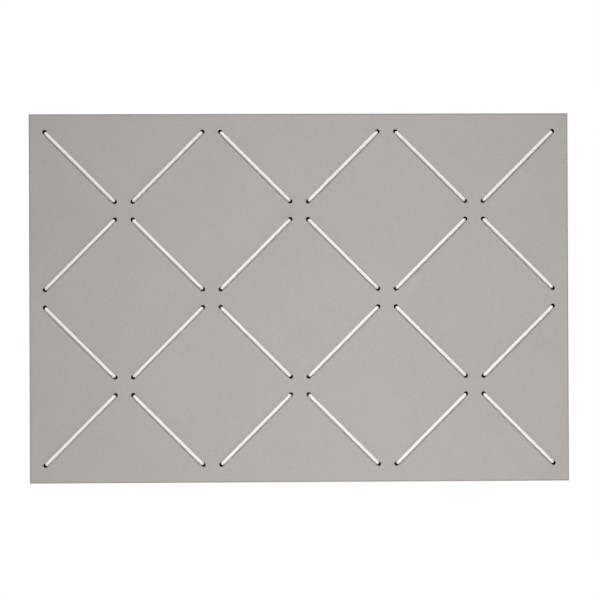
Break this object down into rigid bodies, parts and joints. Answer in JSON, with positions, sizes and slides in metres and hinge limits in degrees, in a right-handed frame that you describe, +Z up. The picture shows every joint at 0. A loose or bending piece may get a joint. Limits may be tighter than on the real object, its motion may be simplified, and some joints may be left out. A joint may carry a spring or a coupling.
{
  "type": "pin board",
  "caption": "Flat wall-hung pin board: a linoleum face with elastic cords threaded across it in a diamond pattern to hold notes and photos, on a plywood core with battens and keyhole hangers.",
  "frame": {"origin": "in the plane of the wall, behind the middle of the board", "axes": "+X to the right across the face as seen from the room, +Y into the wall, +Z up; the face looks along -Y"},
  "size_m": [0.6, 0.0334, 0.41],
  "materials": {
    "linoleum": "matte",
    "plywood": "matte",
    "batten_wood": "matte",
    "hanger_steel": "satin",
    "plated_screw": "satin",
    "felt": "matte",
    "elastic": "matte"
  },
  "bodies": {
    "root": {"linoleum_face": "linoleum", "core_panel": "plywood", "batten_top_left": "batten_wood", "batten_top_middle": "batten_wood", "batten_top_right": "batten_wood", "batten_bottom": "batten_wood", "batten_screw_top_left": "plated_screw", "batten_screw_top_middle_1": "plated_screw", "batten_screw_top_middle_2": "plated_screw", "batten_screw_top_middle_3": "plated_screw", "batten_screw_top_right": "plated_screw", "batten_screw_bottom_1": "plated_screw", "batten_screw_bottom_2": "plated_screw", "batten_screw_bottom_3": "plated_screw", "batten_screw_bottom_4": "plated_screw", "hanger_plate_left": "hanger_steel", "hanger_plate_right": "hanger_steel", "hanger_screw_left_1": "plated_screw", "hanger_screw_left_2": "plated_screw", "hanger_screw_right_1": "plated_screw", "hanger_screw_right_2": "plated_screw", "wall_pad_top_left": "felt", "wall_pad_top_right": "felt", "wall_pad_bottom_left": "felt", "wall_pad_bottom_right": "felt", "elastic_cord_a": "elastic", "elastic_cord_b": "elastic"}
  },
  "joints": []
}
